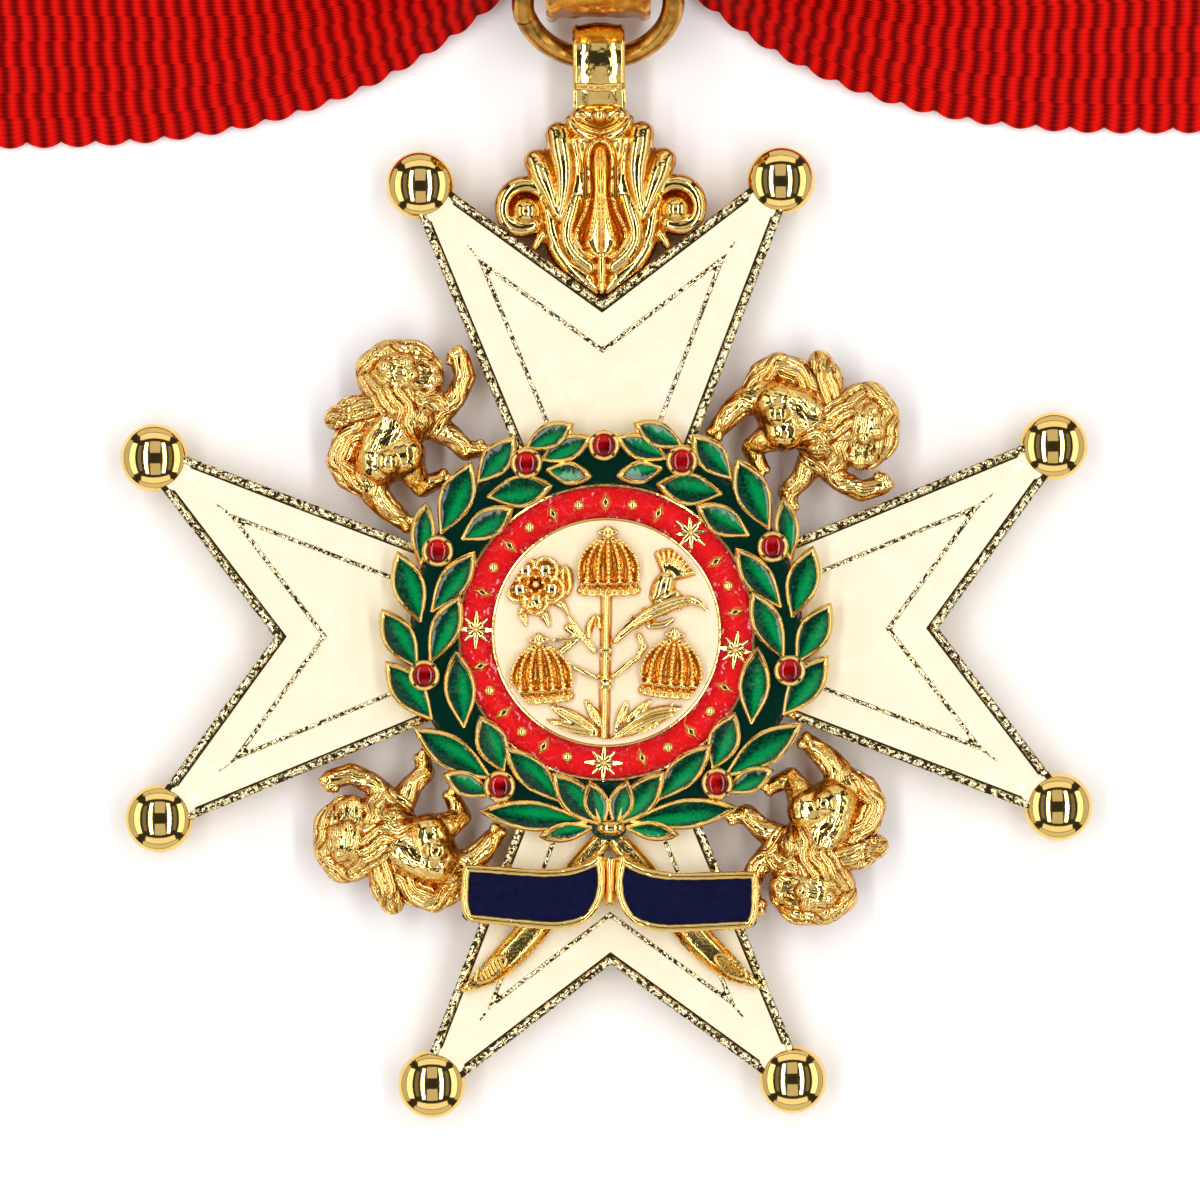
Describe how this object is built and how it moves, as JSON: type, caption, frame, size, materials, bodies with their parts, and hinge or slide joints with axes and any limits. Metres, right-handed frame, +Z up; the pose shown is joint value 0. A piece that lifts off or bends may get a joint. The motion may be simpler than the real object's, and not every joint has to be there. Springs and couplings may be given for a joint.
{
  "type": "order neck badge",
  "caption": "Enamelled cross badge with ball finials, lions, wreathed medallion and scroll, hung by a cast leaf, ring and keeper from a laid-out ribbon loop.",
  "frame": {"origin": "on the table, under the middle of the bounding box of the badge and its laid-out ribbon loop", "axes": "+Z up, out of the badge's face; +Y from the badge to the far side of the ribbon loop; +X to the right seen from above"},
  "size_m": [0.1956, 0.2114, 0.011],
  "materials": {
    "gilt_metal": "polished gilt casting",
    "white_enamel": "gloss",
    "green_enamel": "gloss, translucent over gold",
    "red_enamel": "gloss, translucent over gold",
    "blue_enamel": "gloss",
    "red_stone": "clear red paste over foil",
    "ribbon": "ribbed grosgrain"
  },
  "bodies": {
    "root": {"cross_frame": "gilt_metal", "enamel_band_north": "white_enamel", "enamel_band_east": "white_enamel", "enamel_band_south": "white_enamel", "enamel_band_west": "white_enamel", "enamel_panel_north": "white_enamel", "enamel_panel_east": "white_enamel", "enamel_panel_south": "white_enamel", "enamel_panel_west": "white_enamel", "lion_nw": "gilt_metal", "lion_ne": "gilt_metal", "lion_se": "gilt_metal", "lion_sw": "gilt_metal", "wreath": "gilt_metal", "wreath_enamel": "green_enamel", "band_enamel": "red_enamel", "centre_enamel": "white_enamel", "berry_1": "red_stone", "berry_2": "red_stone", "berry_3": "red_stone", "berry_4": "red_stone", "berry_5": "red_stone", "berry_6": "red_stone", "berry_7": "red_stone", "berry_8": "red_stone", "berry_9": "red_stone", "sceptre": "gilt_metal", "crown_top": "gilt_metal", "crown_left": "gilt_metal", "crown_right": "gilt_metal", "rose_spray": "gilt_metal", "thistle_spray": "gilt_metal", "leaf_spray_left": "gilt_metal", "leaf_spray_right": "gilt_metal", "tie_ribbon_left": "gilt_metal", "tie_ribbon_right": "gilt_metal", "scroll_frame": "gilt_metal", "scroll_enamel_left": "blue_enamel", "scroll_enamel_right": "blue_enamel", "leaf_mount": "gilt_metal", "jump_ring": "gilt_metal", "ribbon_keeper": "gilt_metal", "ribbon": "ribbon", "clasp": "gilt_metal"}
  },
  "joints": []
}
